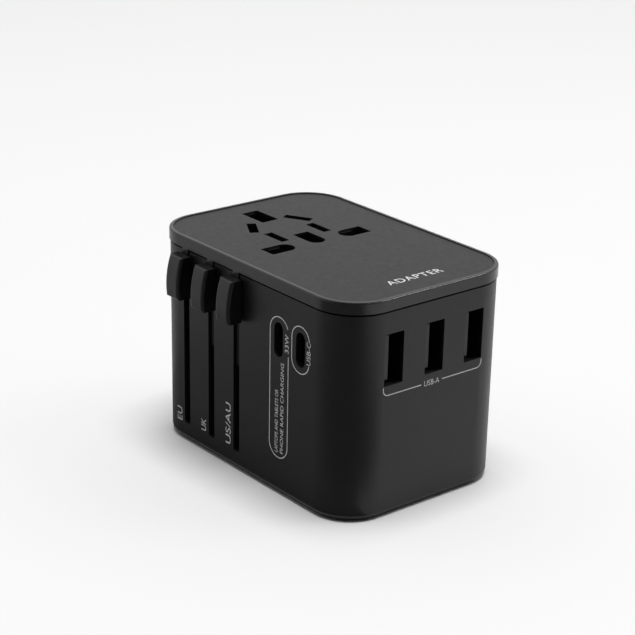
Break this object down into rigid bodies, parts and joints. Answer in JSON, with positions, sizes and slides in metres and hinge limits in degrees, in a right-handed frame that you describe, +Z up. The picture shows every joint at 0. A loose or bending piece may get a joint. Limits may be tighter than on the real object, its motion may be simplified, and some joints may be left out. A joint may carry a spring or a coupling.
{
  "type": "universal travel adapter",
  "caption": "Rounded black mains travel adapter: world socket on top, sliding EU, UK and US/AU plugs below, USB-A and USB-C charging ports on the sides.",
  "frame": {"origin": "centre of the housing's flat bottom face, which the adapter stands on; the slider knobs on -Y stand out of the body's outline and are not centred on", "axes": "+Z up through the world socket, +X towards the short side with the USB-A ports, -Y towards the long side with the plug sliders and the USB-C ports"},
  "size_m": [0.0742, 0.0548, 0.053],
  "materials": {
    "casing_plastic": "satin black moulded polycarbonate",
    "cover_plastic": "black moulded polycarbonate with a polished rim",
    "panel_plastic": "satin black inlaid plate",
    "knob_plastic": "satin black moulded polycarbonate",
    "slider_plastic": "black glass-filled nylon",
    "core_plastic": "black flame-retardant polyester",
    "sleeve_plastic": "black pin insulation",
    "plug_metal": "nickel-plated brass",
    "contact_brass": "bright rolled brass",
    "spring_steel": "spring steel",
    "port_steel": "dark nickel-plated steel",
    "port_plastic": "black connector plastic",
    "screw_steel": "zinc-plated steel",
    "circuit_board": "green solder mask",
    "fuse_ceramic": "white ceramic",
    "fuse_cap_metal": "nickel-plated caps",
    "ferrite": "dark ferrite",
    "winding_tape": "yellow polyester tape",
    "capacitor_can": "sleeved aluminium can",
    "choke_copper": "enamelled copper turns",
    "chip_plastic": "black moulding compound",
    "printed_ink": "white pad-printed marks"
  },
  "bodies": {
    "housing": {"board_link": "chip_plastic", "choke": "choke_copper", "control_chips": "chip_plastic", "core_screws": "screw_steel", "fuse_body": "fuse_ceramic", "fuse_caps": "fuse_cap_metal", "fuse_clips": "spring_steel", "input_capacitors": "capacitor_can", "insulating_barrier": "core_plastic", "live_contact": "contact_brass", "live_rail": "contact_brass", "main_housing": "casing_plastic", "neutral_contact": "contact_brass", "neutral_rail": "contact_brass", "output_capacitors": "capacitor_can", "power_board": "circuit_board", "shutter_spring": "spring_steel", "socket_core": "core_plastic", "socket_panel": "panel_plastic", "top_cover": "cover_plastic", "transformer_core": "ferrite", "transformer_winding": "winding_tape", "usb_a_contacts": "contact_brass", "usb_a_shell_1": "port_steel", "usb_a_shell_2": "port_steel", "usb_a_shell_3": "port_steel", "usb_a_tongue_1": "port_plastic", "usb_a_tongue_2": "port_plastic", "usb_a_tongue_3": "port_plastic", "usb_board": "circuit_board", "usb_board_screws": "screw_steel", "usb_c_risers": "circuit_board", "usb_c_shell_1": "port_steel", "usb_c_shell_2": "port_steel", "usb_c_tongue_1": "port_plastic", "usb_c_tongue_2": "port_plastic"},
    "eu_slider": {"eu_knob": "knob_plastic", "eu_carriage": "slider_plastic", "eu_plug_block": "slider_plastic", "eu_live_pin": "plug_metal", "eu_neutral_pin": "plug_metal", "eu_pin_sleeves": "sleeve_plastic", "eu_detent_springs": "spring_steel"},
    "uk_slider": {"uk_knob": "knob_plastic", "uk_carriage": "slider_plastic", "uk_live_pin": "plug_metal", "uk_neutral_pin": "plug_metal", "uk_pin_sleeves": "sleeve_plastic", "uk_earth_pin": "slider_plastic", "uk_detent_springs": "spring_steel"},
    "us_slider": {"us_knob": "knob_plastic", "us_carriage": "slider_plastic", "us_detent_springs": "spring_steel"},
    "us_live_blade": {"us_blade_live": "plug_metal", "us_hub_live": "slider_plastic", "us_clip_live": "spring_steel"},
    "us_neutral_blade": {"us_blade_neutral": "plug_metal", "us_hub_neutral": "slider_plastic", "us_clip_neutral": "spring_steel"},
    "shutter": {"safety_shutter": "core_plastic"}
  },
  "joints": [
    {"name": "eu_slide", "type": "slide", "parent": "housing", "child": "eu_slider", "axis": [0, 0, -1], "range_m": [0, 0.0329]},
    {"name": "uk_slide", "type": "slide", "parent": "housing", "child": "uk_slider", "axis": [0, 0, -1], "range_m": [0, 0.0235]},
    {"name": "us_slide", "type": "slide", "parent": "housing", "child": "us_slider", "axis": [0, 0, -1], "range_m": [0, 0.0216]},
    {"name": "us_live_turn", "type": "hinge", "parent": "us_slider", "child": "us_live_blade", "pos_m": [0.003, 0.00485, 0.018], "axis": [0, 0, 1], "range_deg": [0, 30]},
    {"name": "us_neutral_turn", "type": "hinge", "parent": "us_slider", "child": "us_neutral_blade", "pos_m": [0.003, -0.00785, 0.018], "axis": [0, 0, 1], "range_deg": [-30, 0]},
    {"name": "shutter_slide", "type": "slide", "parent": "housing", "child": "shutter", "axis": [1, 0, 0], "range_m": [0, 0.0054], "stiffness_N_per_m": 120, "springref_m": -0.002, "deforming": ["shutter_spring"]}
  ]
}
